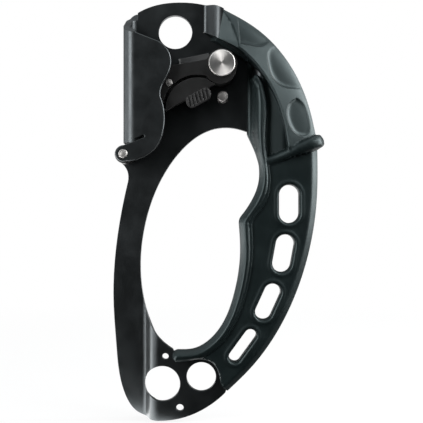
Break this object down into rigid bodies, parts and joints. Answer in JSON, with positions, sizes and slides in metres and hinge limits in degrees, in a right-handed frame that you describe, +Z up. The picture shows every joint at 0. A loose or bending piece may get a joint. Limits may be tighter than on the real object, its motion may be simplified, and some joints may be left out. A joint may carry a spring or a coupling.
{
  "type": "handled rope ascender",
  "caption": "Right-hand rope ascender: folded alloy frame with carabiner eyes and a moulded slotted grip, toothed cam held by a safety catch, and a roller in the rope channel.",
  "frame": {"origin": "centre of the large lower eye, in the middle of the lower plate's thickness", "axes": "+Z up the rope, +X towards the palm side of the grip, -Y towards the user who works the catch"},
  "size_m": [0.1054, 0.0236, 0.2107],
  "materials": {
    "frame_anodised": "satin black anodised",
    "grip_moulding": "satin moulded",
    "turned_steel": "turned",
    "pin_steel": "blasted",
    "washer_steel": "plain",
    "spring_steel": "drawn wire",
    "cam_steel": "black chromed casting",
    "catch_alloy": "dark grey coated",
    "pad_grip": "worn ribbed",
    "bush_bronze": "plain bearing",
    "roller_alloy": "turned"
  },
  "bodies": {
    "frame": {"frame_plate": "frame_anodised", "grip": "grip_moulding", "cam_axle": "turned_steel", "stop_pin": "pin_steel", "roller_axle": "pin_steel", "cam_front_washer": "washer_steel", "cam_spacer": "washer_steel", "cam_axle_rear_washer": "washer_steel", "stop_pin_washer": "washer_steel", "roller_axle_washer": "washer_steel", "cam_spring": "spring_steel", "roller_front_washer": "washer_steel", "roller_rear_washer": "washer_steel"},
    "cam_unit": {"cam": "cam_steel", "cam_bush": "bush_bronze", "catch_pivot_pin": "pin_steel", "catch_spring": "spring_steel"},
    "catch_unit": {"safety_catch": "catch_alloy", "thumb_pad": "pad_grip", "pad_rivets": "pin_steel"},
    "roller_unit": {"lower_roller": "roller_alloy", "roller_bush": "bush_bronze"}
  },
  "joints": [
    {"name": "cam_pivot", "type": "hinge", "parent": "frame", "child": "cam_unit", "pos_m": [0.0296, 0, 0.1587], "axis": [0, -1, 0], "range_deg": [0, 48]},
    {"name": "catch_pivot", "type": "hinge", "parent": "cam_unit", "child": "catch_unit", "pos_m": [0.0035, 0, 0.1493], "axis": [0, 1, 0], "range_deg": [0, 9]},
    {"name": "roller_spin", "type": "hinge", "parent": "frame", "child": "roller_unit", "pos_m": [-0.0187, 0, 0.1141], "axis": [0, 1, 0], "continuous": true}
  ]
}
